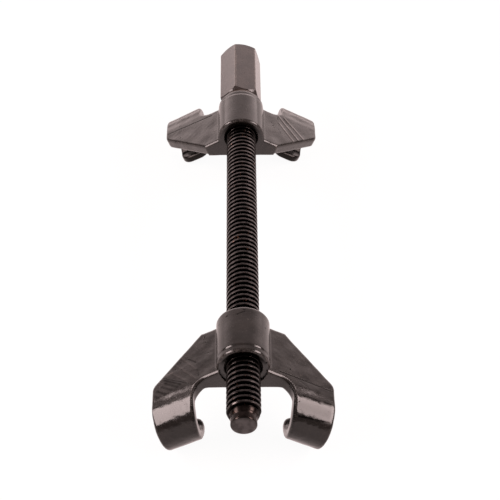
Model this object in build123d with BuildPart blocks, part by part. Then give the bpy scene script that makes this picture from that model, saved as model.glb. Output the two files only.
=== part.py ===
"""Coil spring compressor: one threaded spindle with a long hexagon head, a thrust washer under the
head, and two hooked jaws made from the same forging, one running free on the spindle and one threaded.

The tool lies on the backs of its hooks. X is across the jaws, Y runs along the spindle from its dog
point to the hexagon, and Z is up, out of the jaws' front faces. The origin is on the floor, under the
middle of the tool.
"""

import os
from math import cos, radians, sin, tan

from build123d import *

# Spindle: trapezoidal thread, millimetres throughout
THREAD_PITCH = 3.0
THREAD_MAJOR_R = 8.0
THREAD_DEPTH = 1.75
THREAD_FLANK = 15.0  # flank angle from the normal to the axis, in degrees
THREAD_CREST = 1.1  # flat on the crest, along the axis
THREAD_TURNS = 68
DOG_R = 6.1
DOG_LEN = 3.7
DOG_EDGE = 0.5
LEAD_LEN = 4.2  # cone from the dog point up to the full thread
SHANK_R = 8.05

# Hexagon head
HEX_ACROSS_FLATS = 21.0
HEX_LEN = 43.0
HEX_TURN = 15.0  # the flat nearest the front leans this far towards +X, in degrees
HEX_CORNER_R = 0.7
HEX_FACE_R = 10.3  # edge of the turned end faces
HEX_CHAMFER_LEN = 1.6
STUB_R = 6.5  # end of the spindle that the hexagon is pressed on
STUB_BITE = 0.01
STUB_SHORT = 0.6  # the stub stops this far below the hexagon's end face
STUB_CHAMFER = 0.6

# Thrust washer
WASHER_R = 10.4
WASHER_THICK = 3.6
WASHER_EDGE = 0.4
WASHER_GAP = 0.08  # radial clearance on the shank
SEAT_GAP = 0.8  # and of the turned seat that the washer sits in, on the jaw
END_PLAY = 0.2  # axial clearance on each side of the washer

# Jaw forging. It is drawn with the spindle's axis on Y, the plain end at Y = 0 and its hooks at +Y
BOSS_R = 12.8
BOSS_LEN = 27.6
BOSS_EDGE = 1.2
COLLAR_LEN = 3.8  # trimmed band at the hook end of the boss
COLLAR_STEP = 0.2
BACK_DEPTH = 12.5  # flat back of the forging, below the axis
WING_SWEEP = 29.6  # degrees that each wing leans back
WING_ROOT_X = 12.9
WING_ROOT_DROP = 2.0
WING_THICK = 6.5
OUTER_LEAN = 0.37  # the wing's outer edges run inwards by this much for each millimetre of depth
INNER_LEAN = 0.19  # and so do the hooks' inner edges
ARCH_LEAN = 0.04  # the arch between the hooks runs towards them by this much for each millimetre of depth
PLAIN_END_X = 20.3
OUTER_X = 43.5
OUTER_CORNER_Y = 22.6
OUTER_CORNER_R = 5.0
HOOK_INNER_X = 23.8
ARCH_STEP = 1.3  # the arch starts this far past the end of the boss
ARCH_R = 7.5
HOOK_R = 8.0  # radius of the channel that the spring's wire lies in
HOOK_STEP = 6.4  # the channel's centre lies this far past the end of the boss
LIP_THICK = 4.5
LIP_LEN = 5.0  # how far the lip runs back past the channel's centre
LIP_OUTER_R = 6.5
LIP_INNER_R = 5.5
RIM_FILLET = 1.4
ROOT_FILLET = 2.0
BACK_ROUND = 1.0  # fillet on the root's back edge, at the hook end
BLEND_EDGE_X = 17.3  # the blend beside the boss reaches this far into each wing

# Bores
FREE_BORE_R = 8.8
BORE_CHAMFER = 0.6
THREAD_CLEARANCE = 0.2
THREAD_MOUTH = 1.0

# Places along the spindle, measured from its dog point
LOWER_JAW_HOOK_END = 34.2
UPPER_JAW_PLAIN_END = 202.6

# Worked out from the sizes above
THREAD_LEN = THREAD_TURNS * THREAD_PITCH
LOWER_JAW_PLAIN_END = LOWER_JAW_HOOK_END + BOSS_LEN
WASHER_START = UPPER_JAW_PLAIN_END + BOSS_LEN + END_PLAY
SHANK_END = WASHER_START + WASHER_THICK + END_PLAY
SPINDLE_LEN = SHANK_END + HEX_LEN
STUB_END = SPINDLE_LEN - STUB_SHORT
HEX_POINT_R = HEX_ACROSS_FLATS / 2 / cos(radians(30))
SWEEP = radians(WING_SWEEP)
HOOK_OUTER_R = (WING_THICK + 2 * HOOK_R + LIP_THICK) / 2
HOOK_CENTRE_Y = BOSS_LEN + HOOK_STEP
HOOK_LIP_END = HOOK_CENTRE_Y - LIP_LEN
HOOK_BACK = 2 * HOOK_OUTER_R  # depth of the lip's back, square to the wing's front
WING_START_X = WING_ROOT_X / 2  # each wing begins inside the boss
REACH = max(OUTER_X, HOOK_CENTRE_Y) + HOOK_BACK  # further than the wings reach, for cutting blocks
CLEAR_R = 2 * (THREAD_MAJOR_R - DOG_R)  # the lead cone runs on until it is outside the thread
OUT = 1 / cos(SWEEP)  # travel along a wing for each millimetre across the tool
BACK_EDGE_X = WING_ROOT_X + (BACK_DEPTH - WING_ROOT_DROP - WING_THICK * OUT) / tan(SWEEP)

# Directions of the right-hand wing: out along its front face, and square to it
ALONG = Vector(cos(SWEEP), 0, -sin(SWEEP))
NORMAL = Vector(sin(SWEEP), 0, cos(SWEEP))
ROOT = Vector(WING_ROOT_X, 0, -WING_ROOT_DROP)


def wing_front(x):
    """Height of the right-hand wing's front face at x."""
    return -WING_ROOT_DROP - (x - WING_ROOT_X) * tan(SWEEP)


def upright(y):
    """Plane square to the spindle at y, with X to the right and Z up."""
    return Plane(origin=(0, y, 0), x_dir=(1, 0, 0), z_dir=(0, -1, 0))


def threaded_bar(clearance, turns):
    """A bar along +Z with the spindle's thread, grown all over by the clearance: for each turn, four
    faces ruled between helices, and a ramp and a wall that close each end."""
    crest_r = THREAD_MAJOR_R + clearance
    root_r = crest_r - THREAD_DEPTH
    slope = tan(radians(THREAD_FLANK))
    crest = THREAD_CREST / 2 + clearance * (1 / cos(radians(THREAD_FLANK)) - slope)
    foot = crest + THREAD_DEPTH * slope
    profile = (
        (crest_r, -crest),
        (crest_r, crest),
        (root_r, foot),
        (root_r, THREAD_PITCH - foot),
        (crest_r, THREAD_PITCH - crest),
    )
    helices = [Pos(0, 0, z) * Edge.make_helix(THREAD_PITCH, THREAD_PITCH, r) for r, z in profile]
    strips = [Face.make_surface_from_curves(a, b) for a, b in zip(helices, helices[1:])]
    core = Edge.make_line((0, 0, -crest), (0, 0, THREAD_PITCH - crest))
    ramp = Face.make_surface_from_curves(helices[0], core)
    wall = Face(Wire.make_polygon([core @ 0, *((r, 0, z) for r, z in profile), core @ 1]))
    faces = [Pos(0, 0, k * THREAD_PITCH) * strip for k in range(turns) for strip in strips]
    faces += [Pos(0, 0, end) * face for end in (0, turns * THREAD_PITCH) for face in (ramp, wall)]
    return Solid(Shell(faces))


def wing_plane(along):
    """Plane across the right-hand wing, with its X along the spindle and its Y square to the wing."""
    return Plane(origin=ROOT + ALONG * along, x_dir=(0, 1, 0), z_dir=ALONG)


WING_FRONT = Plane(origin=ROOT, x_dir=ALONG, z_dir=NORMAL)


def on_front(x, y):
    """Point of the wing's outline, drawn on its front face, from its place seen square from the front."""
    return ((x - WING_ROOT_X) * OUT, y)


def lies_across_lip(edge):
    """True for the two short edges of the lip's end face."""
    return abs(edge.center().Y - HOOK_LIP_END) < WING_THICK / 100 and edge.length < 2 * WING_THICK


def is_rim(edge):
    """True for the wing's outline edges, front and back: not its corners, seams or hidden root."""
    middle = edge @ 0.5
    direction = edge % 0.5
    straight = edge.geom_type == GeomType.LINE
    corner = straight and abs(direction.Z) > max(abs(direction.X), abs(direction.Y))
    across = straight and abs(direction.X) > abs(direction.Y)
    seam = across and abs(middle.Y - HOOK_CENTRE_Y) < WING_THICK / 100
    hidden = middle.X < WING_ROOT_X and abs(direction.X) < abs(direction.Y)
    return not (corner or seam or hidden)


# Room beside the hook's lip, which ends square instead of following the arch
with BuildPart() as lip_trim:
    with BuildSketch(WING_FRONT):
        with Locations(on_front(HOOK_INNER_X, 0)):
            Rectangle(REACH, REACH, align=(Align.MAX, Align.MIN))
    extrude(amount=REACH, dir=(-INNER_LEAN, 0, -1))
    split(bisect_by=WING_FRONT.offset(-HOOK_OUTER_R), keep=Keep.BOTTOM)

# Block that the right-hand side is trimmed to: the outline of the wing, its edges leaning inwards
with BuildPart() as outline:
    with BuildSketch(WING_FRONT) as edge:
        with BuildLine():
            Polyline(
                on_front(0, 0),
                on_front(PLAIN_END_X, 0),
                on_front(OUTER_X, OUTER_CORNER_Y),
                on_front(OUTER_X, REACH),
                on_front(0, REACH),
                close=True,
            )
        make_face()
        fillet(edge.vertices().sort_by_distance(on_front(OUTER_X, OUTER_CORNER_Y))[0], OUTER_CORNER_R)
    extrude(amount=REACH, dir=(-OUTER_LEAN, 0, -1))

# Block that the arch between the hooks is cut with, from above the wing, its walls leaning
with BuildPart() as window:
    top = wing_front(0)
    inner_x = HOOK_INNER_X + INNER_LEAN * (top - wing_front(HOOK_INNER_X))
    arch_y = BOSS_LEN + ARCH_STEP - ARCH_LEAN * (top + WING_ROOT_DROP)
    with BuildSketch(Plane.XY.offset(top)):
        with BuildLine():
            side = Polyline((0, arch_y), (0, REACH), (inner_x, REACH), (inner_x, arch_y + ARCH_R))
            bend = JernArc(side @ 1, (0, -1), ARCH_R, -90)
            Line(bend @ 1, side @ 0)
        make_face()
    extrude(amount=REACH, dir=(-INNER_LEAN, ARCH_LEAN, -1))

# Right-hand wing: plate and hook bent in one piece, then trimmed to the wing's outline
with BuildPart() as wing:
    with BuildSketch(wing_plane((WING_START_X - WING_ROOT_X) * OUT)):
        with BuildLine():
            front = Line((0, 0), (HOOK_CENTRE_Y, 0))
            outer = ThreePointArc(
                front @ 1, (HOOK_CENTRE_Y + HOOK_OUTER_R, -HOOK_OUTER_R), (HOOK_CENTRE_Y, -HOOK_BACK)
            )
            back = Line(outer @ 1, (HOOK_LIP_END, -HOOK_BACK))
            lip = Line(back @ 1, (HOOK_LIP_END, LIP_THICK - HOOK_BACK))
            inside = Line(lip @ 1, (HOOK_CENTRE_Y, LIP_THICK - HOOK_BACK))
            channel = ThreePointArc(
                inside @ 1, (HOOK_CENTRE_Y + HOOK_R, -WING_THICK - HOOK_R), (HOOK_CENTRE_Y, -WING_THICK)
            )
            rear = Line(channel @ 1, (0, -WING_THICK))
            Line(rear @ 1, front @ 0)
        make_face()
    extrude(amount=REACH)
    add(outline.part, mode=Mode.INTERSECT)
    add(window.part, mode=Mode.SUBTRACT)
    add(lip_trim.part, mode=Mode.SUBTRACT)
    lip_corners = wing.edges().filter_by(lambda e: lies_across_lip(e)).sort_by(Axis.X)
    fillet(lip_corners[-1], LIP_OUTER_R)
    fillet(lip_corners[0], LIP_INNER_R)
    fillet(wing.edges().filter_by(is_rim), RIM_FILLET)

# Boss, with a trimmed band at its hook end
with BuildPart() as boss:
    with BuildSketch(upright(0)):
        Circle(BOSS_R)
    extrude(amount=COLLAR_LEN - BOSS_LEN)
    with BuildSketch(upright(BOSS_LEN - COLLAR_LEN)):
        Circle(BOSS_R - COLLAR_STEP)
    extrude(amount=-COLLAR_LEN)
    rings = boss.edges().filter_by(GeomType.CIRCLE).sort_by(Axis.Y)
    fillet([rings[0], rings[-1]], BOSS_EDGE)

# Flat-backed root that joins the boss to the right-hand wing
with BuildPart() as root:
    with BuildSketch(upright(0)):
        with BuildLine():
            Polyline(
                (0, -WING_ROOT_DROP),
                (0, -BACK_DEPTH),
                (BACK_EDGE_X, -BACK_DEPTH),
                (BACK_EDGE_X, wing_front(BACK_EDGE_X) - WING_THICK / 2),
                (WING_START_X, -WING_ROOT_DROP),
                close=True,
            )
        make_face()
    extrude(amount=-HOOK_CENTRE_Y)
    add(outline.part, mode=Mode.INTERSECT)
    add(window.part, mode=Mode.SUBTRACT)
    back_edges = root.edges().group_by(Axis.Z)[0]
    fillet(back_edges.filter_by(lambda e: e.center().Y > BOSS_LEN), BACK_ROUND)

# Blend that runs along the boss where it meets the front of each wing
with BuildPart() as blend:
    with BuildSketch(upright(RIM_FILLET)) as corner:
        Circle(BOSS_R - COLLAR_STEP)
        with BuildLine():
            Polyline(
                (0, wing_front(0)),
                (BLEND_EDGE_X, wing_front(BLEND_EDGE_X)),
                (BLEND_EDGE_X, wing_front(BLEND_EDGE_X) - WING_THICK / 2),
                (-BLEND_EDGE_X, wing_front(BLEND_EDGE_X) - WING_THICK / 2),
                (-BLEND_EDGE_X, wing_front(BLEND_EDGE_X)),
                close=True,
            )
        make_face()
        meeting = corner.vertices().filter_by(lambda v: BOSS_R - RIM_FILLET < abs(v.X) < BOSS_R)
        fillet(meeting.group_by(Axis.Y)[-1], ROOT_FILLET)
    extrude(amount=2 * RIM_FILLET - BOSS_LEN)

# Forging that both jaws are made from
with BuildPart() as forging:
    add(boss.part)
    add(blend.part)
    for side in (root, wing):
        add(side.part)
        add(side.part.mirror(Plane.YZ))
    with BuildSketch(upright(BOSS_LEN)):
        Circle(WASHER_R + SEAT_GAP)
    extrude(amount=-REACH, mode=Mode.SUBTRACT)

# The tool lies on the backs of its hooks, so they set how high the spindle's axis is
AXIS_HEIGHT = -forging.part.bounding_box().min.Z
SPINDLE_AXIS = Axis((0, 0, AXIS_HEIGHT), (0, 1, 0))


def across_spindle(place):
    """Plane square to the spindle, facing the hexagon, at a place measured from the dog point."""
    return Plane(origin=(0, place - SPINDLE_LEN / 2, AXIS_HEIGHT), x_dir=(1, 0, 0), z_dir=(0, 1, 0))


def beside_spindle(place):
    """Plane through the spindle's axis: X runs towards the hexagon from the place, Y is the radius."""
    return Plane(origin=(0, place - SPINDLE_LEN / 2, AXIS_HEIGHT), x_dir=(0, 1, 0), z_dir=(1, 0, 0))


# Spindle: full thread, a lead cone and dog point at one end, a plain shank and a stub at the other
with BuildPart() as spindle:
    with Locations(across_spindle(-THREAD_PITCH)):
        add(threaded_bar(0, THREAD_TURNS + 2), clean=False)
    with BuildSketch(beside_spindle(0)):
        with BuildLine():
            Polyline(
                (0, 0),
                (0, DOG_R - DOG_EDGE),
                (DOG_EDGE, DOG_R),
                (DOG_LEN, DOG_R),
                (DOG_LEN + LEAD_LEN * CLEAR_R / (THREAD_MAJOR_R - DOG_R), DOG_R + CLEAR_R),
                (THREAD_LEN, DOG_R + CLEAR_R),
                (THREAD_LEN, 0),
                close=True,
            )
        make_face()
    revolve(axis=SPINDLE_AXIS, mode=Mode.INTERSECT, clean=False)
    with BuildSketch(beside_spindle(THREAD_LEN)):
        with BuildLine():
            Polyline(
                (0, 0),
                (0, SHANK_R),
                (SHANK_END - THREAD_LEN, SHANK_R),
                (SHANK_END - THREAD_LEN, STUB_R),
                (STUB_END - STUB_CHAMFER - THREAD_LEN, STUB_R),
                (STUB_END - THREAD_LEN, STUB_R - STUB_CHAMFER),
                (STUB_END - THREAD_LEN, 0),
                close=True,
            )
        make_face()
    revolve(axis=SPINDLE_AXIS, clean=False)
spindle.part.label = "spindle"

# Long hexagon, pressed on the stub and trimmed to a cone at each end
with BuildPart() as hex_head:
    with BuildSketch(across_spindle(SHANK_END)) as bar:
        RegularPolygon(HEX_ACROSS_FLATS / 2, 6, major_radius=False, rotation=HEX_TURN)
        fillet(bar.vertices(), HEX_CORNER_R)
    extrude(amount=HEX_LEN)
    with BuildSketch(beside_spindle(SHANK_END)):
        with BuildLine():
            Polyline(
                (0, 0),
                (0, HEX_FACE_R),
                (HEX_CHAMFER_LEN, HEX_POINT_R),
                (HEX_LEN - HEX_CHAMFER_LEN, HEX_POINT_R),
                (HEX_LEN, HEX_FACE_R),
                (HEX_LEN, 0),
                close=True,
            )
        make_face()
    revolve(axis=SPINDLE_AXIS, mode=Mode.INTERSECT)
    with BuildSketch(beside_spindle(SHANK_END)):
        with BuildLine():
            Polyline(
                (0, 0),
                (0, STUB_R - STUB_BITE),
                (HEX_LEN - STUB_CHAMFER, STUB_R - STUB_BITE),
                (HEX_LEN, STUB_R - STUB_BITE + STUB_CHAMFER),
                (HEX_LEN, 0),
                close=True,
            )
        make_face()
    revolve(axis=SPINDLE_AXIS, mode=Mode.SUBTRACT)
hex_head.part.label = "hex_head"

# Thrust washer between the hexagon and the jaw that runs free
with BuildPart() as thrust_washer:
    with BuildSketch(across_spindle(WASHER_START)):
        Circle(WASHER_R)
        Circle(SHANK_R + WASHER_GAP, mode=Mode.SUBTRACT)
    extrude(amount=WASHER_THICK)
    chamfer(thrust_washer.edges().filter_by(GeomType.CIRCLE), WASHER_EDGE)
thrust_washer.part.label = "thrust_washer"

# Jaw that runs free on the spindle, hooks towards the hexagon
with BuildPart() as upper_jaw:
    with Locations((0, UPPER_JAW_PLAIN_END - SPINDLE_LEN / 2, AXIS_HEIGHT)):
        add(forging.part)
    with BuildSketch(beside_spindle(UPPER_JAW_PLAIN_END)):
        with BuildLine():
            Polyline(
                (0, 0),
                (0, FREE_BORE_R + BORE_CHAMFER),
                (BORE_CHAMFER, FREE_BORE_R),
                (BOSS_LEN - BORE_CHAMFER, FREE_BORE_R),
                (BOSS_LEN, FREE_BORE_R + BORE_CHAMFER),
                (BOSS_LEN, 0),
                close=True,
            )
        make_face()
    revolve(axis=SPINDLE_AXIS, mode=Mode.SUBTRACT)
upper_jaw.part.label = "upper_jaw"

# Threaded jaw: the same forging turned end for end, cut with the spindle's thread and a clearance
with BuildPart() as lower_jaw:
    with Locations(Location((0, LOWER_JAW_PLAIN_END - SPINDLE_LEN / 2, AXIS_HEIGHT), (0, 0, 180))):
        add(forging.part)
    turns_before = int(LOWER_JAW_HOOK_END / THREAD_PITCH) - 2
    turns_inside = int(BOSS_LEN / THREAD_PITCH) + 5
    with Locations(across_spindle(turns_before * THREAD_PITCH)):
        add(threaded_bar(THREAD_CLEARANCE, turns_inside), mode=Mode.SUBTRACT)
    mouth_r = THREAD_MAJOR_R + THREAD_CLEARANCE + THREAD_MOUTH
    with BuildSketch(beside_spindle(LOWER_JAW_HOOK_END)):
        for end, inwards in ((0, 1), (BOSS_LEN, -1)):
            with BuildLine():
                Polyline((end, 0), (end, mouth_r), (end + inwards * mouth_r, 0), close=True)
            make_face()
    revolve(axis=SPINDLE_AXIS, mode=Mode.SUBTRACT)
lower_jaw.part.label = "lower_jaw"

os.makedirs("parts", exist_ok=True)
for piece in (spindle, hex_head, thrust_washer, upper_jaw, lower_jaw):
    export_step(piece.part, f"parts/{piece.part.label}.step")
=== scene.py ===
"""Looks for the coil spring compressor: blackened spindle and hexagon, two black forged jaws.

Sizes are in millimetres unless they say metres, and every mesh is in metres. X is across the
jaws, Y runs from the dog point to the hexagon, and Z is up.
"""

from math import cos, pi, radians, sin, tan

import bmesh
import bpy
import numpy as np
from mathutils import Matrix, Vector
from mathutils.bvhtree import BVHTree


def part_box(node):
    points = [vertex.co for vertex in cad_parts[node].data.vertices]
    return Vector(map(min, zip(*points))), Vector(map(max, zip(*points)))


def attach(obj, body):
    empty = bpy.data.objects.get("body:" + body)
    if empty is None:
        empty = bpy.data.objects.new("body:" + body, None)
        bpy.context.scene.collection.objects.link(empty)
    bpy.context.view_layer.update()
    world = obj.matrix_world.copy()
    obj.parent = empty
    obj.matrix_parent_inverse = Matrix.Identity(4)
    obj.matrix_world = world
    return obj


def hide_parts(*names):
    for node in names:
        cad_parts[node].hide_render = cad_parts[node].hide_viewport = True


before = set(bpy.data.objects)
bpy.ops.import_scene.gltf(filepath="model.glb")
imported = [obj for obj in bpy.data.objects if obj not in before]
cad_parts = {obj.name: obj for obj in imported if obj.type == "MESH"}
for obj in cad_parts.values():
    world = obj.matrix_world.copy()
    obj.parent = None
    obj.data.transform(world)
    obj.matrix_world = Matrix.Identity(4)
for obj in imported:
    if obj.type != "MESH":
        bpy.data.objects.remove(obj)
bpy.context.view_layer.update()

MM = 0.001

# The camera looks down along the spindle from above the dog point. Its place is measured from the
# middle of the dog point's end, in millimetres
CAMERA_FROM_TIP = (-1.25, -371.5, 468.0)
CAMERA_LOOKS = (0.0077, 0.7193, -0.6946)
CAMERA_RIGHT = (0.99994, -0.0107, 0.0)
CAMERA_LENS = 95.66
CAMERA_SENSOR = 36.0

# Spindle, in millimetres, as the solid has it
PITCH = 3.0
MAJOR_R = 8.0
THREAD_DEPTH = 1.75
HALF_CREST = 0.55
HALF_ROOT = 0.481
ROUNDING = 0.07
THREAD_START = 4.0
THREAD_END = 204.0
DOG_R = 6.1
DOG_LEN = 3.7
LEAD_LEN = 4.2
SHANK_R = 8.05
SHANK_END = 234.2
STUB_R = 6.5
AROUND = 48  # points in each ring

# Jaw forging, in millimetres, drawn with the spindle on Y and the plain end at Y = 0
WING_LEAN = radians(29.6)
WING_ROOT_X = 12.9
BOSS_R = 12.8
HOOK_CENTRE_Y = 34.0
BORE_KEEP_R = 9.8  # inside it the skin keeps the solid's shape
SKIN_VOXEL = 0.45
# Height over the axis at which the planes of the two wings' fronts meet
WING_FRONT_PEAK = WING_ROOT_X * tan(WING_LEAN) - 2.0

spindle_low, spindle_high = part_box("spindle")
AXIS_Z = (spindle_low.z + spindle_high.z) / 2 / MM
TIP_Y = spindle_low.y / MM
STUB_END = spindle_high.y / MM - TIP_Y


# ---------------------------------------------------------------- node helpers


class Graph:
    """Short calls for building a shader's nodes and links."""

    def __init__(self, tree):
        self.tree = tree

    def node(self, kind, settings=None, **inputs):
        made = self.tree.nodes.new(kind)
        for name, value in (settings or {}).items():
            setattr(made, name, value)
        for name, value in inputs.items():
            self.feed(made, name.replace("_", " "), value)
        return made

    def feed(self, node, name, value):
        socket = node.inputs[name]
        if isinstance(value, bpy.types.NodeSocket):
            self.tree.links.new(value, socket)
        else:
            socket.default_value = value

    def math(self, operation, first, second=0.0, third=0.0, clamp=False):
        made = self.tree.nodes.new("ShaderNodeMath")
        made.operation = operation
        made.use_clamp = clamp
        for place, value in enumerate((first, second, third)):
            self.feed(made, place, value)
        return made.outputs[0]

    def vector(self, operation, first, second=(0, 0, 0)):
        made = self.tree.nodes.new("ShaderNodeVectorMath")
        made.operation = operation
        self.feed(made, 0, first)
        self.feed(made, 1, second)
        return made.outputs["Value" if operation in ("DOT_PRODUCT", "LENGTH") else "Vector"]

    def ramp(self, value, low, high, out_low=0.0, out_high=1.0):
        made = self.tree.nodes.new("ShaderNodeMapRange")
        made.interpolation_type = "SMOOTHSTEP"
        names = ("Value", "From Min", "From Max", "To Min", "To Max")
        for name, given in zip(names, (value, low, high, out_low, out_high)):
            self.feed(made, name, given)
        return made.outputs["Result"]

    def mix(self, factor, first, second):
        made = self.tree.nodes.new("ShaderNodeMix")
        made.data_type = "RGBA"
        self.feed(made, "Factor", factor)
        for socket, value in zip([s for s in made.inputs if s.type == "RGBA"], (first, second)):
            if isinstance(value, bpy.types.NodeSocket):
                self.tree.links.new(value, socket)
            else:
                socket.default_value = (*value, 1.0)
        return [s for s in made.outputs if s.type == "RGBA"][0]

    def noise(self, place, scale, detail=3.0, roughness=0.55):
        made = self.tree.nodes.new("ShaderNodeTexNoise")
        self.feed(made, "Vector", place)
        self.feed(made, "Scale", scale)
        self.feed(made, "Detail", detail)
        self.feed(made, "Roughness", roughness)
        return made.outputs["Fac"]


def new_group(name, takes, gives):
    """Empty shader node group, from inputs (name, socket kind, default) and outputs (name, kind)."""
    tree = bpy.data.node_groups.new(name, "ShaderNodeTree")
    for title, kind, default in takes:
        socket = tree.interface.new_socket(title, in_out="INPUT", socket_type=kind)
        if default is not None:
            socket.default_value = default
    for title, kind in gives:
        tree.interface.new_socket(title, in_out="OUTPUT", socket_type=kind)
    graph = Graph(tree)
    return graph, tree.nodes.new("NodeGroupInput"), tree.nodes.new("NodeGroupOutput")


FLOAT, VECTOR = "NodeSocketFloat", "NodeSocketVector"
SPECK_EDGE = 0.06  # how much more noise a speck's middle has than its rim
LINE_WANDER = 0.0004  # metres that a scored line strays sideways
LINE_FADE = 0.001  # metres over which it fades in and out


def build_speckle():
    """Sparse specks, as of rust or dust: noise above a level, broken up by a wider noise."""
    graph, taken, given = new_group(
        "speckle",
        (
            ("Place", VECTOR, None),
            ("Scale", FLOAT, 900.0),
            ("Level", FLOAT, 0.62),
            ("Spread", FLOAT, 120.0),
        ),
        (("Mask", FLOAT),),
    )
    fine = graph.noise(taken.outputs["Place"], taken.outputs["Scale"], 2.0)
    wide = graph.noise(taken.outputs["Place"], taken.outputs["Spread"], 2.0)
    level = graph.math("ADD", taken.outputs["Level"], SPECK_EDGE)
    spots = graph.ramp(fine, taken.outputs["Level"], level)
    patches = graph.ramp(wide, 0.46, 0.62)
    graph.feed(given, "Mask", graph.math("MULTIPLY", spots, patches))
    return graph.tree


def build_forged_grain():
    """Uneven skin: the height is the wide noise, 0.45 of a middle one and 0.16 of a fine one, and
    the tone is the wide noise alone."""
    graph, taken, given = new_group(
        "forged_grain",
        (("Place", VECTOR, None), ("Wide", FLOAT, 140.0), ("Fine", FLOAT, 1600.0)),
        (("Height", FLOAT), ("Tone", FLOAT)),
    )
    place = taken.outputs["Place"]
    wide = graph.noise(place, taken.outputs["Wide"], 3.0)
    middle = graph.noise(place, graph.math("MULTIPLY", taken.outputs["Wide"], 4.3), 3.0)
    fine = graph.noise(place, taken.outputs["Fine"], 2.0)
    height = graph.math("MULTIPLY_ADD", middle, 0.45, wide)
    graph.feed(given, "Height", graph.math("MULTIPLY_ADD", fine, 0.16, height))
    graph.feed(given, "Tone", graph.ramp(wide, 0.3, 0.7))
    return graph.tree


def build_scored_line():
    """Soft mask of a straight mark: 1 on the line through Start along Way, 0 at Width to its side,
    and faded out at both ends of its Length. The place is first shifted by noise, so that the line
    wanders."""
    graph, taken, given = new_group(
        "scored_line",
        (
            ("Place", VECTOR, None),
            ("Start", VECTOR, None),
            ("Way", VECTOR, None),
            ("Length", FLOAT, 0.01),
            ("Width", FLOAT, 0.0003),
        ),
        (("Mask", FLOAT),),
    )
    place = taken.outputs["Place"]
    wander = graph.node("ShaderNodeTexNoise", Vector=place, Scale=240.0)
    shift = graph.vector("SUBTRACT", wander.outputs["Color"], (0.5, 0.5, 0.5))
    shift = graph.vector("MULTIPLY", shift, (LINE_WANDER,) * 3)
    from_start = graph.vector("SUBTRACT", graph.vector("ADD", place, shift), taken.outputs["Start"])
    along = graph.vector("DOT_PRODUCT", from_start, taken.outputs["Way"])
    on_line = graph.node("ShaderNodeVectorMath", {"operation": "SCALE"}, Scale=along)
    graph.feed(on_line, 0, taken.outputs["Way"])
    aside = graph.vector("LENGTH", graph.vector("SUBTRACT", from_start, on_line.outputs["Vector"]))
    near = graph.ramp(aside, 0.0, taken.outputs["Width"], 1.0, 0.0)
    begun = graph.ramp(along, 0.0, LINE_FADE)
    left = graph.math("SUBTRACT", taken.outputs["Length"], along)
    ended = graph.ramp(left, 0.0, LINE_FADE)
    graph.feed(given, "Mask", graph.math("MULTIPLY", near, graph.math("MULTIPLY", begun, ended)))
    return graph.tree


def build_spindle_place():
    """Where a point lies, in millimetres: its distance from the spindle's axis, its rise over the
    axis, its depth under the plane of the wings' fronts, its distance along the spindle from the
    dog point's end, and its distance along the spindle from the middle of the nearest crest. The
    crests lie one pitch further on for each turn round the axis."""
    graph, taken, given = new_group(
        "spindle_place",
        (("Place", VECTOR, None), ("Axis Height", FLOAT, 0.045)),
        (
            ("Radius", FLOAT),
            ("Rise", FLOAT),
            ("Depth", FLOAT),
            ("Along", FLOAT),
            ("From Crest", FLOAT),
        ),
    )
    apart = graph.node("ShaderNodeSeparateXYZ", Vector=taken.outputs["Place"])
    across = apart.outputs["X"]
    rise = graph.math("SUBTRACT", apart.outputs["Z"], taken.outputs["Axis Height"])
    flat = graph.node("ShaderNodeCombineXYZ", X=across, Y=rise)
    metres = graph.vector("LENGTH", flat.outputs["Vector"])
    graph.feed(given, "Radius", graph.math("MULTIPLY", metres, 1 / MM))
    graph.feed(given, "Rise", graph.math("MULTIPLY", rise, 1 / MM))
    lean = graph.math("MULTIPLY", graph.math("ABSOLUTE", across), -tan(WING_LEAN))
    depth = graph.math("SUBTRACT", lean, rise)
    graph.feed(given, "Depth", graph.math("MULTIPLY_ADD", depth, 1 / MM, WING_FRONT_PEAK))
    along = graph.math("MULTIPLY_ADD", apart.outputs["Y"], 1 / MM, -TIP_Y)
    graph.feed(given, "Along", along)
    angle = graph.math("ARCTAN2", graph.math("MULTIPLY", rise, -1.0), across)
    round_axis = graph.math("DIVIDE", angle, 2 * pi)
    turns = graph.math("SUBTRACT", graph.math("DIVIDE", along, PITCH), round_axis)
    share = graph.math("FRACT", graph.math("ADD", turns, 0.5))
    from_crest = graph.math("ABSOLUTE", graph.math("SUBTRACT", share, 0.5))
    graph.feed(given, "From Crest", graph.math("MULTIPLY", from_crest, PITCH))
    return graph.tree


speckle = build_speckle()
forged_grain = build_forged_grain()
scored_line = build_scored_line()
spindle_place = build_spindle_place()


def place_group(graph, tree, **inputs):
    """The group's node in a graph, with its inputs fed by name."""
    made = graph.tree.nodes.new("ShaderNodeGroup")
    made.node_tree = tree
    for name, value in inputs.items():
        graph.feed(made, name.replace("_", " "), value)
    return made


def new_material(name):
    """Material with one Principled shader, its graph, the shader, and the Object coordinates."""
    made = bpy.data.materials.new(name)
    made.use_nodes = True
    tree = made.node_tree
    tree.nodes.clear()
    graph = Graph(tree)
    shader = graph.node("ShaderNodeBsdfPrincipled")
    out = graph.node("ShaderNodeOutputMaterial")
    tree.links.new(shader.outputs["BSDF"], out.inputs["Surface"])
    place = graph.node("ShaderNodeTexCoord").outputs["Object"]
    return made, graph, shader, place


def bump(graph, height, strength, distance, below=None):
    """Normal bumped by a height, over the normal below it where one is given."""
    made = graph.node("ShaderNodeBump", Strength=strength, Distance=distance, Height=height)
    if below is not None:
        graph.feed(made, "Normal", below)
    return made.outputs["Normal"]


def on_spindle(graph, place):
    """Outputs of the group that says where a point lies round and along the spindle."""
    return place_group(graph, spindle_place, Place=place, Axis_Height=AXIS_Z * MM).outputs


# ---------------------------------------------------------------- materials

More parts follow.
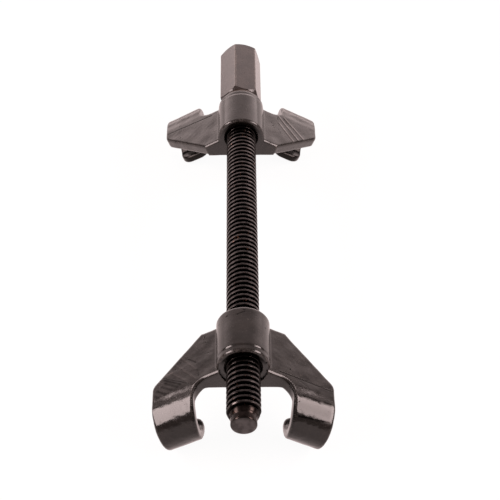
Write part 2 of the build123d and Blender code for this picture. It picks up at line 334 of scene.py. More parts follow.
# A pair of colours is mixed by the grain, the mottle or the stain
FORGING_COLOURS = (0.0062, 0.0051, 0.0043), (0.0105, 0.0084, 0.0072)
FORGING_SPECK = (0.10, 0.085, 0.075)
# Near black of all painted shade: pits, scored lines, the bore's crown, the hooks' far side and the
# wide shade lines
PAINTED_SHADE_COLOUR = (0.003, 0.0025, 0.002)
WEAR_AND_HIGHLIGHT_COLOUR = (0.16, 0.14, 0.13)
# Lighter colour of the wear on proud corners, and also of the painted highlight along the jaws'
# ridges
RUST_COLOUR = (0.16, 0.07, 0.035)
HEXAGON_COLOURS = (0.022, 0.018, 0.017), (0.034, 0.027, 0.025)
HEXAGON_SPECK = (0.008, 0.007, 0.007)
THREAD_COLOURS = (0.004, 0.0033, 0.003), (0.008, 0.006, 0.0055)
CREST_HIGHLIGHT_COLOUR = (0.078, 0.070, 0.068)
DOG_COLOURS = (0.014, 0.011, 0.010), (0.028, 0.022, 0.020)
DOG_END_COLOURS = (0.050, 0.046, 0.045), (0.088, 0.082, 0.081)
# Very dark washer colours: painted shade for the gap between the hexagon and the boss
WASHER_PAINTED_SHADE_COLOURS = (0.018, 0.012, 0.009), (0.045, 0.032, 0.025)

# Where a jaw's skin changes, from where it starts to change to where it has changed
# Painted shade over the crown of each bore's mouth: radius from the axis, then rise over the axis
BORE_SHADE_RADIUS = (10.6, 11.5)
BORE_SHADE_RISE = (1.0, 6.0)
# Painted shade on the hooks' far side, under the wings: depth under the wings' fronts, then radius
# from the axis
HOOK_SHADE_DEPTH = (8.0, 15.0)
HOOK_SHADE_RADIUS = (20.0, 24.0)
BEND_DEPTH = (0.6, 2.4)
# Where the hexagon's corners are worn, and where a painted highlight runs along the thread's crests
CORNER_RADIUS = (11.55, 11.95)
CREST_WIDTH = (0.28, 0.70)
CREST_RADIUS = (7.3, 7.9)


def line_mask(graph, place, marks):
    """Strongest of several scored lines: start, end and width in metres, and strength, of each."""
    joined = 0.0
    for start, end, width, strength in marks:
        way = Vector(end) - Vector(start)
        line = place_group(
            graph,
            scored_line,
            Place=place,
            Start=tuple(start),
            Way=tuple(way.normalized()),
            Length=way.length,
            Width=width,
        )
        one = graph.math("MULTIPLY", line.outputs["Mask"], strength)
        joined = graph.math("MAXIMUM", joined, one)
    return joined


def forging_material(name, scores, shades, ridges, bore_shade, under):
    """Black forged skin: pits and scored lines painted near black as painted shade, wide lines of
    painted shade, and a painted highlight along ridges and edges. The crown of the bore's mouth is
    painted near black as painted shade by a share, and so is the hooks' far side by the share under.
    What is dark is metal with next to no colour, so it hardly shines."""
    made, graph, shader, place = new_material(name)
    where = on_spindle(graph, place)
    # Painted shade: the crown of the bore's mouth is painted near black, by a share for each jaw
    bore_and_hook_shade = graph.ramp(where["Radius"], *BORE_SHADE_RADIUS, 1.0, 0.0)
    bore_and_hook_shade = graph.math("MULTIPLY", bore_and_hook_shade, graph.ramp(where["Rise"], *BORE_SHADE_RISE, 0.0, bore_shade))
    # Painted shade: the hooks' far side, under the wings, is painted near black by the share under
    dull = graph.ramp(where["Depth"], *HOOK_SHADE_DEPTH, 0.0, under)
    dull = graph.math("MULTIPLY", dull, graph.ramp(where["Radius"], *HOOK_SHADE_RADIUS))
    bore_and_hook_shade = graph.math("MAXIMUM", bore_and_hook_shade, dull)
    grain = place_group(graph, forged_grain, Place=place)
    wear = graph.node("ShaderNodeAttribute", {"attribute_name": "wear"}).outputs["Fac"]
    broken = graph.noise(place, 900.0, 3.0)
    worn = graph.math("MULTIPLY", wear, graph.ramp(broken, 0.42, 0.62))
    colour = graph.mix(grain.outputs["Tone"], *FORGING_COLOURS)
    specks = place_group(graph, speckle, Place=place, Scale=1100.0, Level=0.66, Spread=60.0)
    colour = graph.mix(graph.math("MULTIPLY", specks.outputs["Mask"], 0.5), colour, FORGING_SPECK)
    colour = graph.mix(graph.math("MULTIPLY", worn, 0.55), colour, WEAR_AND_HIGHLIGHT_COLOUR)
    # Painted highlight: a lighter line along each raised die ridge and along the ground flat's edges
    painted_highlight = line_mask(graph, place, ridges)
    colour = graph.mix(graph.math("MULTIPLY", painted_highlight, 0.7), colour, WEAR_AND_HIGHLIGHT_COLOUR)
    # Painted shade: pits and scored lines are painted near black, as the shade in pits, grooves and
    # creases
    pits = place_group(graph, speckle, Place=place, Scale=520.0, Level=0.66, Spread=90.0)
    hollow = graph.math("MAXIMUM", pits.outputs["Mask"], line_mask(graph, place, scores))
    # All painted shade together: the bore's crown, the hooks' far side and the wide lines of painted
    # shade
    shaded = graph.math("MAXIMUM", bore_and_hook_shade, line_mask(graph, place, shades))
    dark = graph.math("MAXIMUM", hollow, shaded)
    # Painted shade: every dark mask is mixed towards the near-black shade colour
    colour = graph.mix(graph.math("MULTIPLY", dark, 0.95), colour, PAINTED_SHADE_COLOUR)
    graph.feed(shader, "Base Color", colour)
    rough = graph.math("MULTIPLY_ADD", grain.outputs["Tone"], 0.07, 0.155)
    rough = graph.math("ADD", rough, graph.math("MULTIPLY", hollow, 0.3), clamp=True)
    graph.feed(shader, "Roughness", rough)
    graph.feed(shader, "Metallic", graph.math("MAXIMUM", dark, graph.math("MULTIPLY", worn, 0.5)))
    coarser = graph.ramp(where["Depth"], *BEND_DEPTH, 0.62, 1.7)
    height = graph.math("MULTIPLY", grain.outputs["Height"], coarser)
    skin = bump(graph, height, 0.35, 0.12 * MM)
    sunk = bump(graph, graph.math("SUBTRACT", 1.0, hollow), 0.35, 0.10 * MM, skin)
    graph.feed(shader, "Normal", sunk)
    return made


def hexagon_material():
    """Blackened bar: fine lengthwise drawing marks, dull dents, and corners worn lighter."""
    made, graph, shader, place = new_material("blackened_hexagon")
    stretched = graph.vector("MULTIPLY", place, (1.0, 0.06, 1.0))
    drawn = graph.noise(stretched, 1500.0, 3.0)
    grain = place_group(graph, forged_grain, Place=place, Wide=160.0, Fine=2200.0)
    broken = graph.noise(place, 700.0, 3.0)
    corner = graph.ramp(on_spindle(graph, place)["Radius"], *CORNER_RADIUS)
    corner = graph.math("MULTIPLY", corner, graph.ramp(broken, 0.36, 0.60))
    colour = graph.mix(grain.outputs["Tone"], *HEXAGON_COLOURS)
    specks = place_group(graph, speckle, Place=place, Scale=700.0, Level=0.68, Spread=80.0)
    colour = graph.mix(specks.outputs["Mask"], colour, HEXAGON_SPECK)
    colour = graph.mix(graph.math("MULTIPLY", corner, 0.6), colour, WEAR_AND_HIGHLIGHT_COLOUR)
    graph.feed(shader, "Base Color", colour)
    graph.feed(shader, "Roughness", graph.math("MULTIPLY_ADD", drawn, 0.10, 0.12))
    graph.feed(shader, "Metallic", graph.math("MULTIPLY", corner, 0.5))
    lines = bump(graph, drawn, 0.08, 0.04 * MM)
    graph.feed(shader, "Normal", bump(graph, grain.outputs["Height"], 0.14, 0.08 * MM, lines))
    return made


def thread_material():
    """Blackened steel: near black in the roots, a thin painted highlight along each crest, a
    plain dog point with a mottled end, and small coppery rust specks that don't shine."""
    made, graph, shader, place = new_material("blackened_thread")
    where = on_spindle(graph, place)
    broken = graph.noise(place, 420.0, 3.0)
    # Painted highlight: a thin lighter line along the middle of each crest, broken up by noise
    crest = graph.ramp(where["From Crest"], *CREST_WIDTH, 1.0, 0.0)
    crest = graph.math("MULTIPLY", crest, graph.ramp(where["Radius"], *CREST_RADIUS))
    painted_highlight = graph.math("MULTIPLY", crest, graph.ramp(broken, 0.30, 0.70, 0.35, 1.0))
    grain = place_group(graph, forged_grain, Place=place, Wide=300.0, Fine=2400.0)
    colour = graph.mix(grain.outputs["Tone"], *THREAD_COLOURS)
    colour = graph.mix(painted_highlight, colour, CREST_HIGHLIGHT_COLOUR)
    mottle = graph.ramp(graph.noise(place, 330.0, 3.0), 0.34, 0.66)
    dog = graph.ramp(where["Along"], DOG_LEN + 1.0, DOG_LEN + 3.0, 1.0, 0.0)
    colour = graph.mix(dog, colour, graph.mix(mottle, *DOG_COLOURS))
    end = graph.ramp(where["Along"], 0.1, 0.5, 1.0, 0.0)
    colour = graph.mix(end, colour, graph.mix(mottle, *DOG_END_COLOURS))
    rust = place_group(graph, speckle, Place=place, Scale=800.0, Level=0.645, Spread=170.0)
    rusty = graph.math("MULTIPLY", rust.outputs["Mask"], 0.6)
    colour = graph.mix(rusty, colour, RUST_COLOUR)
    graph.feed(shader, "Base Color", colour)
    graph.feed(shader, "Roughness", graph.math("MULTIPLY_ADD", broken, 0.14, 0.16))
    graph.feed(shader, "Metallic", graph.math("SUBTRACT", 1.0, rusty))
    graph.feed(shader, "Normal", bump(graph, grain.outputs["Height"], 0.3, 0.08 * MM))
    return made


def washer_material():
    """Oiled steel ring, turned, with faint rings round its faces, its colour darkened as painted
    shade for its place between the hexagon and the boss.
    """
    made, graph, shader, place = new_material("washer_steel")
    radius = on_spindle(graph, place)["Radius"]
    rings = graph.noise(graph.node("ShaderNodeCombineXYZ", X=radius).outputs["Vector"], 14.0, 2.0)
    stain = graph.ramp(graph.noise(place, 260.0, 3.0), 0.35, 0.65)
    graph.feed(shader, "Base Color", graph.mix(stain, *WASHER_PAINTED_SHADE_COLOURS))
    graph.feed(shader, "Roughness", graph.math("MULTIPLY_ADD", rings, 0.2, 0.28))
    graph.feed(shader, "Metallic", graph.math("MULTIPLY_ADD", stain, 0.2, 0.3))
    graph.feed(shader, "Normal", bump(graph, rings, 0.2, 0.05 * MM))
    return made


# ---------------------------------------------------------------- mesh helpers


def new_piece(name, points, faces, material):
    """Smooth mesh piece from points in metres; doubles are merged and the faces turned outwards."""
    mesh = bpy.data.meshes.new(name)
    mesh.from_pydata(points.tolist(), [], faces.tolist())
    shell = bmesh.new()
    shell.from_mesh(mesh)
    bmesh.ops.remove_doubles(shell, verts=shell.verts, dist=1e-7)
    bmesh.ops.dissolve_degenerate(shell, edges=shell.edges, dist=1e-7)
    bmesh.ops.recalc_face_normals(shell, faces=shell.faces)
    shell.to_mesh(mesh)
    shell.free()
    mesh.materials.append(material)
    mesh.shade_smooth()
    made = bpy.data.objects.new(name, mesh)
    bpy.context.scene.collection.objects.link(made)
    return made


def strip_quads(lower, upper):
    """Quads between two rows of point numbers of equal length."""
    return np.stack([lower[:-1], lower[1:], upper[1:], upper[:-1]], axis=-1).reshape(-1, 4)


def eased(value, low, high):
    """0 below low, 1 above high, and a smooth S between."""
    t = np.clip((value - low) / (high - low), 0.0, 1.0)
    return t * t * (3 - 2 * t)


def ripple(points, wavelength, seed, waves=28):
    """Smooth noise of about unit size: the sum of plane waves of about one length each, in seeded
    directions and phases."""
    chance = np.random.default_rng(seed)
    way = chance.normal(size=(waves, 3))
    way /= np.linalg.norm(way, axis=1, keepdims=True)
    length = wavelength * chance.uniform(0.8, 1.3, waves)
    phase = chance.uniform(0, 2 * pi, waves)
    swells = np.sin(points @ (way * (2 * pi / length)[:, None]).T + phase)
    return swells.sum(axis=1) / np.sqrt(waves / 2)


# ---------------------------------------------------------------- spindle


def thread_radius(from_crest):
    """Radius of the thread at a distance along the axis from its crest's middle: a trapezoid wave,
    with its corners rounded by averaging over a short length."""
    bends = (HALF_CREST, PITCH / 2 - HALF_ROOT)
    radii = (MAJOR_R, MAJOR_R - THREAD_DEPTH)
    total = 0.0
    shifts = np.linspace(-ROUNDING, ROUNDING, 5)
    for shift in shifts:
        away = np.abs((from_crest + shift + PITCH / 2) % PITCH - PITCH / 2)
        total = total + np.interp(away, bends, radii)
    return total / len(shifts)


def lead_radius(along):
    """Radius of the plain dog point and of the cone that leads from it up to the full thread."""
    return DOG_R + np.clip((along - DOG_LEN) / LEAD_LEN, 0.0, 1.0) * (MAJOR_R - DOG_R)


# Distances from a crest's middle at which the thread's sheet has a row of points, on both sides
THREAD_ROWS = (0.40, 0.48, 0.55, 0.63, 0.78, 0.94, 1.02, 1.10)
# Profiles turned round the axis: distance from the dog point's end, and radius
DOG_PROFILE = (
    (0.0, 0.0),
    (0.0, 2.0),
    (0.0, 4.2),
    (0.02, 5.2),
    (0.09, 5.58),
    (0.24, 5.90),
    (0.5, 6.06),
    (0.8, DOG_R),
    (2.2, DOG_R),
    (DOG_LEN - 0.1, DOG_R),
    (DOG_LEN, DOG_R),
    (THREAD_START, lead_radius(THREAD_START)),
)
SHANK_PROFILE = (
    (THREAD_END, SHANK_R),
    (SHANK_END - 1.0, SHANK_R),
    (SHANK_END, SHANK_R),
    (SHANK_END, STUB_R),
    (STUB_END - 0.6, STUB_R),
    (STUB_END, STUB_R - 0.6),
    (STUB_END, 3.0),
    (STUB_END, 0.0),
)


def thread_sheet(angle):
    """Places along the axis, radii and faces of the thread: a sheet wound round the axis. Across
    the sheet the thread's profile repeats, and each step round moves it along by its share of the
    pitch. The sheet's seam joins one turn to the next."""
    half = np.array(THREAD_ROWS)
    offsets = np.concatenate([-half[::-1], [0.0], half, [PITCH / 2]])
    turns = int(THREAD_END / PITCH) + 3
    across = (offsets[None, :] + PITCH * (np.arange(turns) - 1)[:, None]).ravel()
    from_crest = np.repeat(across[:, None], AROUND, axis=1)
    along = from_crest + PITCH * angle[None, :] / (2 * pi)
    held = np.clip(along, THREAD_START, THREAD_END)
    radius = np.minimum(thread_radius(from_crest), lead_radius(held))
    radius = np.where(along <= THREAD_START, lead_radius(THREAD_START), radius)
    radius = np.where(along >= THREAD_END, SHANK_R, radius)
    number = np.arange(held.size).reshape(held.shape)
    columns = np.vstack([number[: -len(offsets)].T, number[len(offsets) :, 0]])
    faces = [strip_quads(columns[k], columns[k + 1]) for k in range(AROUND)]
    return held, radius, np.concatenate(faces)


def build_spindle():
    """The thread's sheet, with the dog point and the shank as profiles turned round the axis."""
    angle = np.arange(AROUND) * 2 * pi / AROUND
    held, radius, quads = thread_sheet(angle)
    grids = [(held, radius)]
    faces = [quads]
    start = held.size
    for profile in (np.array(DOG_PROFILE), np.array(SHANK_PROFILE)):
        along, radius = (np.repeat(profile[:, [k]], AROUND, axis=1) for k in (0, 1))
        ring = np.arange(along.size).reshape(along.shape) + start
        closed = np.hstack([ring, ring[:, :1]])
        grids.append((along, radius))
        faces += [strip_quads(closed[k], closed[k + 1]) for k in range(len(profile) - 1)]
        start += along.size
    points = np.concatenate([
        np.stack([r * np.cos(angle), TIP_Y + t, AXIS_Z - r * np.sin(angle)], axis=-1).reshape(-1, 3)
        for t, r in grids
    ])
    piece = new_piece("threaded_spindle", points * MM, np.concatenate(faces), thread_material())
    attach(piece, "spindle")
    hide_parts("spindle")


# ---------------------------------------------------------------- jaws


# Raised die marks on the wing at +X of the forging: start, end, height and half width
DIE_RIDGES = (
    ((21.8, 22.0), (29.9, 10.6), 0.10, 0.45),
    ((21.7, 28.0), (32.8, 13.4), 0.12, 0.45),
    ((24.9, 28.7), (36.0, 16.2), 0.12, 0.45),
)
RIDGE_WIDTH = 0.5  # of the line of painted highlight along each
GROUND_SHARE = 0.35  # of their height is left on the turned jaw, which was ground there
# Lap in the skin of the wing at -X: its start, where its line of painted shade starts, and its end
LAP_START, LAP_IN, LAP_END = (-12.6, 25.6), (-16.0, 25.7), (-43.0, 26.6)
LAP_DEPTH = 0.02
LAP_HALF_WIDTH = 0.34
# Ground flats on the turned jaw's wing at +X: a point on the edge of each, and the way across it.
# The outer one sinks by a slope over a reach, and the inner one by a depth
OUTER_FLAT = ((27.5, 27.0), (0.59, 0.81))
OUTER_SLOPE = 0.018
OUTER_REACH = 9.0
INNER_FLAT = ((24.0, 15.4), (0.72, 0.69))
INNER_DEPTH = 0.02
# Marks on the wings start this far from the middle
ROOT_X = 12.0
# How far the fronts sink before each hook, where the bend starts early
EARLY_BEND = 0.22
# Ripple of the skin: wavelength, height, and how many heights its middle lies under the solid
RIPPLES = ((9.0, 0.035, 1.2), (2.6, 0.012, 1.0))
# A wing's front is skin that faces the way the wing leans and lies clear of the boss
FRONT_FACING = (0.80, 0.95)
FRONT_RADIUS = (14.6, 15.6)
# How far a corner stands proud, in voxels, from where it starts to be worn to where it is worn
WORN_PROUD = (0.035, 0.12)


def ridge(x, y, start, end, height, half_width):
    """Raised line on the wing: a bell curve across, faded out at both ends."""
    start, end = np.array(start), np.array(end)
    length = np.linalg.norm(end - start)
    way = (end - start) / length
    dx, dy = x - start[0], y - start[1]
    along = dx * way[0] + dy * way[1]
    aside = dx * way[1] - dy * way[0]
    faded = eased(along, -1.0, 0.5) * (1 - eased(along, length - 0.5, length + 1.0))
    return height * np.exp(-((aside / half_width) ** 2)) * faded


def past_edge(x, y, flat):
    """Distance past the edge of a ground flat."""
    (edge_x, edge_y), (way_x, way_y) = flat
    return (x - edge_x) * way_x + (y - edge_y) * way_y


def wing_relief(x, y, turned):
    """Height of the marks on the wings' fronts, from the place seen square to the forging: the die
    marks, less the lap's groove and the step beside it, and on the turned jaw less the two ground
    flats."""
    height = sum(ridge(x, y, *mark) for mark in DIE_RIDGES) * (GROUND_SHARE if turned else 1.0)
    height = height - ridge(x, y, LAP_START, LAP_END, LAP_DEPTH, LAP_HALF_WIDTH)
    lap = y - np.interp(-x, (-LAP_START[0], -LAP_END[0]), (LAP_START[1], LAP_END[1]))
    step = eased(lap, 0.0, 0.5) * (1 - eased(lap, 3.0, 7.0))
    height = height - LAP_DEPTH * step * (x < -ROOT_X)
    if turned:
        outer = OUTER_SLOPE * np.clip(past_edge(x, y, OUTER_FLAT), 0.0, OUTER_REACH)
        past = past_edge(x, y, INNER_FLAT)
        inner = INNER_DEPTH * eased(past, -0.2, 0.3) * (1 - eased(past, 1.0, 4.0))
        height = height - (outer + inner) * (x > ROOT_X)
    return height


def vertex_rows(mesh):
    """Places and normals of a mesh's vertices, a row for each."""
    rows = []
    for name in ("co", "normal"):
        flat = np.empty(len(mesh.vertices) * 3, np.float32)
        mesh.vertices.foreach_get(name, flat)
        rows.append(flat.reshape(-1, 3).astype(float))
    return rows


def even_mesh(name, node):
    """The solid's surface, remeshed evenly and laid back on the solid."""
    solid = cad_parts[node]
    blank = bpy.data.objects.new(name, solid.data.copy())
    bpy.context.scene.collection.objects.link(blank)
    shell = bmesh.new()
    shell.from_mesh(blank.data)
    bmesh.ops.remove_doubles(shell, verts=shell.verts, dist=1e-6)
    shell.to_mesh(blank.data)
    shell.free()
    remesh = blank.modifiers.new("even", "REMESH")
    remesh.mode = "VOXEL"
    remesh.voxel_size = SKIN_VOXEL * MM
    onto = blank.modifiers.new("onto", "SHRINKWRAP")
    onto.target = solid
    onto.wrap_method = "NEAREST_SURFACEPOINT"
    graph = bpy.context.evaluated_depsgraph_get()
    mesh = bpy.data.meshes.new_from_object(blank.evaluated_get(graph))
    bpy.data.objects.remove(blank)
    mesh.name = name
    return mesh


def build_jaw(name, node, body, turned):
    """The forging's skin: the solid's surface, remeshed evenly, then moved along its normals by the
    marks on the wings' fronts, by a gentle bend that starts before each hook, and by two sizes of
    ripple. The bore, the thread and their rims keep the solid's shape."""
    low, high = (np.array(v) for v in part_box(node))
    mesh = even_mesh(name, node)
    points, normals = vertex_rows(mesh)
    side = -1.0 if turned else 1.0
    plain_end = (high[1] if turned else low[1]) / MM
    x = side * points[:, 0] / MM
    y = side * (points[:, 1] / MM - plain_end)
    radius = np.hypot(points[:, 0], points[:, 2] - AXIS_Z * MM) / MM
    free = eased(radius, BORE_KEEP_R, BORE_KEEP_R + 1.2)
    facing = np.abs(normals[:, 0]) * sin(WING_LEAN) + normals[:, 2] * cos(WING_LEAN)
    outward = np.sign(points[:, 0]) * normals[:, 0] > 0
    front = eased(facing, *FRONT_FACING) * outward * eased(radius, *FRONT_RADIUS)
    early = eased(y, HOOK_CENTRE_Y - 4.5, HOOK_CENTRE_Y)
    early = early * (1 - eased(y, HOOK_CENTRE_Y, HOOK_CENTRE_Y + 7.0))
    height = (wing_relief(x, y, turned) - EARLY_BEND * early) * front
    loose = free * (0.35 + 0.65 * eased(radius, BOSS_R + 0.4, BOSS_R + 3.0))
    hooks = 0.45 + 0.75 * eased(y, HOOK_CENTRE_Y - 2.0, HOOK_CENTRE_Y + 3.0)
    seed = 7 if turned else 3
    for (wavelength, swell, sunk), share in zip(RIPPLES, (loose, loose * hooks)):
        height = height + swell * (ripple(points / MM, wavelength, seed) - sunk) * share
        seed += 1
    points = np.clip(points + normals * (height * MM)[:, None], low, high)
    mesh.vertices.foreach_set("co", points.astype(np.float32).ravel())
    mesh.update()
    store_wear(mesh, free)
    mesh.shade_smooth()
    mesh.materials.clear()
    piece = bpy.data.objects.new(name, mesh)
    bpy.context.scene.collection.objects.link(piece)
    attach(piece, body)
    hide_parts(node)
    return piece, plain_end


def store_wear(mesh, free):
    """Attribute of outward corners: how far each point stands proud of the mean of its neighbours,
    made smoother by averaging along the edges."""
    points, normals = vertex_rows(mesh)
    ends = np.empty(len(mesh.edges) * 2, np.int32)
    mesh.edges.foreach_get("vertices", ends)
    ends = ends.reshape(-1, 2)
    share = np.bincount(ends.ravel(), minlength=len(points)).astype(float)

    def averaged(values):
        total = np.zeros_like(values)
        np.add.at(total, ends[:, 0], values[ends[:, 1]])
        np.add.at(total, ends[:, 1], values[ends[:, 0]])
        return total / np.maximum(share, 1)[:, None]

    proud = ((points - averaged(points)) * normals).sum(axis=1, keepdims=True) / (SKIN_VOXEL * MM)
    for _ in range(3):
        proud = (proud + averaged(proud)) / 2
    wear = eased(proud[:, 0], *WORN_PROUD) * free
    mesh.attributes.new("wear", "FLOAT", "POINT").data.foreach_set("value", wear.astype(np.float32))


def skin_tree(piece):
    """Search tree of a piece's faces."""
    shell = bmesh.new()
    shell.from_mesh(piece.data)
    tree = BVHTree.FromBMesh(shell)
    shell.free()
    return tree


def on_wing(skin, x, y, side, plain_end):
    """Place in metres on a wing's front face, straight under the forging's own x and y."""
    above = Vector((side * x * MM, (plain_end + side * y) * MM, 2 * AXIS_Z * MM))
    hit = skin.ray_cast(above, Vector((0, 0, -1)))[0]
    return tuple(hit or skin.find_nearest(above)[0])


def on_boss(skin, angle, y, side, plain_end):
    """Place in metres on the boss, at an angle from straight up towards the forging's +X."""
    turn = radians(angle)
    out = Vector((side * sin(turn), 0, cos(turn)))
    axis = Vector((0, (plain_end + side * y) * MM, AXIS_Z * MM))
    start = axis + out * (2 * BOSS_R * MM)
    hit = skin.ray_cast(start, -out)[0]
    return tuple(hit or skin.find_nearest(start)[0])


# A mark is its start, its end, its width in millimetres and its strength. A place on a wing is the
# forging's own x and y, and a place on the boss is its angle from the top, in degrees, and y
# Notch beside the ridges, painted near black as painted shade
NOTCH = ((20.9, 27.0), (21.2, 23.6), 0.5, 0.9)
UPPER_OWN = {
    # Shares of painted shade over the bore's crown and on the hooks' far side, and of the painted
    # highlight along the ridges. The wing and boss lines are painted near black as painted shade
    "bore_shade": 0.6,
    "under": 0.75,
    "lap": 0.8,
    "painted_highlight": 0.8,
    "wing": [((-17.5, 17.5), (-20.5, 15.5), 0.4, 0.5), ((-14.5, 9.0), (-16.0, 11.5), 0.35, 0.5)],
    "boss": [((-14.0, 24.4), (-2.0, 24.7), 0.5, 0.8), ((8.0, 24.9), (22.0, 24.6), 0.4, 0.7)],
    "painted_shades": [],
    "edges": [],
}
LOWER_OWN = {
    # Shares of painted shade over the bore's crown and on the hooks' far side, and of the painted
    # highlight along the ridges. The wing and boss lines are painted near black as painted shade
    "bore_shade": 0.95,
    "under": 0.36,
    "lap": 0.95,
    "painted_highlight": 0.15,
    "wing": [
        ((-25.2, 26.8), (-30.9, 30.2), 0.4, 0.6),
        ((27.0, 12.5), (21.8, 18.0), 0.9, 0.85),
        ((38.5, 19.3), (25.7, 28.6), 0.8, 0.9),
        ((16.5, 8.0), (19.0, 6.5), 0.5, 0.7),
        ((15.5, 14.5), (18.5, 14.0), 0.5, 0.6),
    ],
    "boss": [
        ((16.0, 5.5), (-7.0, 3.0), 0.75, 1.0),
        ((2.0, 2.6), (-8.0, 1.8), 0.6, 1.0),
        ((42.0, 4.6), (31.0, 4.0), 0.8, 1.0),
        ((66.0, 6.0), (58.0, 5.2), 0.7, 0.9),
    ],
    # Wide lines of painted shade: over the ground flats at +X, and along and across the bright bend
    # before each hook at -X
    "painted_shades": [
        ((38.3, 20.4), (29.0, 27.6), 1.3, 0.65),
        ((38.0, 22.4), (30.5, 28.6), 1.3, 0.55),
        ((39.6, 23.8), (33.0, 29.4), 1.2, 0.5),
        ((41.6, 25.5), (36.0, 30.4), 1.2, 0.6),
        ((42.6, 28.0), (39.5, 31.0), 1.2, 0.5),
        ((-24.5, 35.6), (-41.8, 35.2), 1.5, 0.8),
        ((-24.8, 40.3), (-41.3, 40.0), 6.5, 0.30),
        ((-24.8, 44.3), (-41.0, 43.0), 1.0, 0.8),
    ],
    # Lines of painted highlight along the edges of the ground flat at +X
    "edges": [((33.2, 18.2), (38.5, 18.4), 0.6, 0.6), ((38.7, 18.6), (40.3, 21.6), 0.6, 0.6)],
}


def jaw_marks(skin, side, plain_end, own):
    """Marks of a jaw in the mesh's own place: its scored lines, painted near black as painted shade,
    which are the lap, the notch beside the ridges and its own scratches, then its wide lines of
    painted shade, then its ridges and edges, which get a painted highlight."""

    def placed(put, lines):
        return [
            (put(skin, *a, side, plain_end), put(skin, *b, side, plain_end), width * MM, strength)
            for a, b, width, strength in lines
        ]

    wing = [(LAP_IN, LAP_END, own["lap"], 1.0), NOTCH]
    ridges = [(a, b, RIDGE_WIDTH, own["painted_highlight"]) for a, b, _, _ in DIE_RIDGES]
    return (
        placed(on_wing, wing + own["wing"]) + placed(on_boss, own["boss"]),
        placed(on_wing, own["painted_shades"]),
        placed(on_wing, ridges + own["edges"]),
    )


# ---------------------------------------------------------------- build

build_spindle()

upper, upper_plain = build_jaw("upper_forged_jaw", "upper_jaw", "upper_jaw", False)
lower, lower_plain = build_jaw("lower_forged_jaw", "lower_jaw", "lower_jaw", True)
for jaw, name, side, plain_end, own in (
    (upper, "black_forging_upper", 1.0, upper_plain, UPPER_OWN),
    (lower, "black_forging_lower", -1.0, lower_plain, LOWER_OWN),
):
    marks = jaw_marks(skin_tree(jaw), side, plain_end, own)
    jaw.data.materials.append(forging_material(name, *marks, own["bore_shade"], own["under"]))

for node, material in (("hex_head", hexagon_material()), ("thrust_washer", washer_material())):
    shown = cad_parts[node]
    shown.data.materials.clear()
    shown.data.materials.append(material)


# ---------------------------------------------------------------- studio

WHITE = (1.0, 1.0, 1.0)
STUDIO_TINT = (1.0, 0.82, 0.80)
FLOOR_REACH = 4.0
# Softboxes at both sides, in metres and watts
SOFTBOX_AT = (0.72, -0.20, 0.50)
SOFTBOX_AIM = (0.03, -0.20, 0.04)
SOFTBOX_SIZE = (1.08, 0.34)
SOFTBOX_POWER = 12.4
GLOW_SHARE = 0.93  # of the floor is glow where it is seen, and the rest takes the shadow


def add_camera():
    """Camera in its measured place. Its up is square to the way it looks and to its right."""
    camera = bpy.data.cameras.new("camera")
    camera.lens = CAMERA_LENS
    camera.sensor_width = CAMERA_SENSOR
    camera.clip_start = 0.01
    camera.clip_end = 10.0
    holder = bpy.data.objects.new("camera", camera)
    back = -Vector(CAMERA_LOOKS).normalized()
    right = Vector(CAMERA_RIGHT).normalized()
    turn = Matrix((right, back.cross(right), back)).transposed().to_4x4()
    tip = Vector((0.0, TIP_Y, AXIS_Z))
    holder.matrix_world = Matrix.Translation((tip + Vector(CAMERA_FROM_TIP)) * MM) @ turn
    bpy.context.scene.collection.objects.link(holder)
    bpy.context.scene.camera = holder


def add_softbox(name, side):
    """Oblong area light at one side, turned to face its aim."""
    light = bpy.data.lights.new(name, "AREA")
    light.shape = "RECTANGLE"
    light.size, light.size_y = SOFTBOX_SIZE
    light.energy = SOFTBOX_POWER
    light.color = STUDIO_TINT
    holder = bpy.data.objects.new(name, light)
    place, aim = (Vector((side * at[0], at[1], at[2])) for at in (SOFTBOX_AT, SOFTBOX_AIM))
    toward = (aim - place).to_track_quat("-Z", "Y")
    holder.matrix_world = Matrix.Translation(place) @ toward.to_matrix().to_4x4()
    bpy.context.scene.collection.objects.link(holder)


def white_where_seen(graph, surface):
    """The surface's own shader, mixed mostly to a glow for rays that come from the camera or from a
    gloss, so that the ground stays white and a faint shadow is left. In a gloss the glow has the
    studio's tint, and is a little dimmer in front of the tool."""
    path = graph.node("ShaderNodeLightPath")
    seen = graph.math("MAXIMUM", path.outputs["Is Camera Ray"], path.outputs["Is Glossy Ray"])
    seen = graph.math("MAXIMUM", seen, path.outputs["Is Transmission Ray"])
    place = graph.node("ShaderNodeTexCoord").outputs["Object"]
    apart = graph.node("ShaderNodeSeparateXYZ", Vector=place)
    beside = graph.ramp(apart.outputs["Y"], -0.20, -0.10, 0.88, 1.2)
    direct = path.outputs["Is Camera Ray"]
    level = graph.math("MULTIPLY_ADD", direct, graph.math("SUBTRACT", 1.0, beside), beside)
    tint = graph.mix(direct, STUDIO_TINT, WHITE)
    glow = graph.node("ShaderNodeEmission", Color=tint, Strength=level)
    mixed = graph.node("ShaderNodeMixShader")
    graph.feed(mixed, 0, graph.math("MULTIPLY", seen, GLOW_SHARE))
    graph.feed(mixed, 1, surface)
    graph.feed(mixed, 2, glow.outputs[0])
    return mixed.outputs[0]


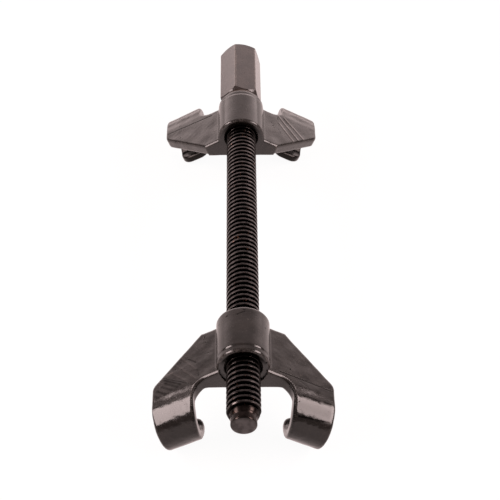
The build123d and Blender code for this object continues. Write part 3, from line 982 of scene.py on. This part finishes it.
def add_floor():
    """Pale floor at Z = 0, well past the edges of any view."""
    made = bpy.data.materials.new("pale_floor")
    made.use_nodes = True
    made.node_tree.nodes.clear()
    graph = Graph(made.node_tree)
    pale = graph.node("ShaderNodeBsdfDiffuse", Color=(0.86, 0.86, 0.86, 1.0))
    out = graph.node("ShaderNodeOutputMaterial")
    graph.feed(out, "Surface", white_where_seen(graph, pale.outputs[0]))
    mesh = bpy.data.meshes.new("floor")
    square = ((-1, -1), (1, -1), (1, 1), (-1, 1))
    corners = [(x * FLOOR_REACH, y * FLOOR_REACH, 0) for x, y in square]
    mesh.from_pydata(corners, [], [(0, 1, 2, 3)])
    mesh.materials.append(made)
    floor = bpy.data.objects.new("floor", mesh)
    bpy.context.scene.collection.objects.link(floor)


def light_world():
    """White for the camera. For the tool, a warm pale tent: brightest low behind it, dimmer high
    behind it and straight above, and dim at the sides and in front."""
    world = bpy.data.worlds.new("studio")
    bpy.context.scene.world = world
    world.use_nodes = True
    world.node_tree.nodes.clear()
    graph = Graph(world.node_tree)
    way = graph.node("ShaderNodeTexCoord").outputs["Generated"]
    apart = graph.node("ShaderNodeSeparateXYZ", Vector=way)
    behind = graph.ramp(apart.outputs["Y"], 0.48, 0.95, 0.15, 2.6)
    lower = graph.ramp(apart.outputs["Z"], -0.05, 0.8, 1.4, 0.5)
    above = graph.ramp(apart.outputs["Z"], 0.55, 0.80, 0.0, 0.28)
    level = graph.math("ADD", graph.math("MULTIPLY", behind, lower), above)
    seen = graph.node("ShaderNodeLightPath").outputs["Is Camera Ray"]
    strength = graph.math("MULTIPLY_ADD", seen, graph.math("SUBTRACT", 1.0, level), level)
    tint = graph.mix(seen, STUDIO_TINT, WHITE)
    shade = graph.node("ShaderNodeBackground", Color=tint, Strength=strength)
    out = graph.node("ShaderNodeOutputWorld")
    graph.feed(out, "Surface", shade.outputs[0])


add_camera()
add_floor()
light_world()
add_softbox("softbox_left", -1)
add_softbox("softbox_right", 1)
bpy.context.scene.view_settings.view_transform = "Standard"
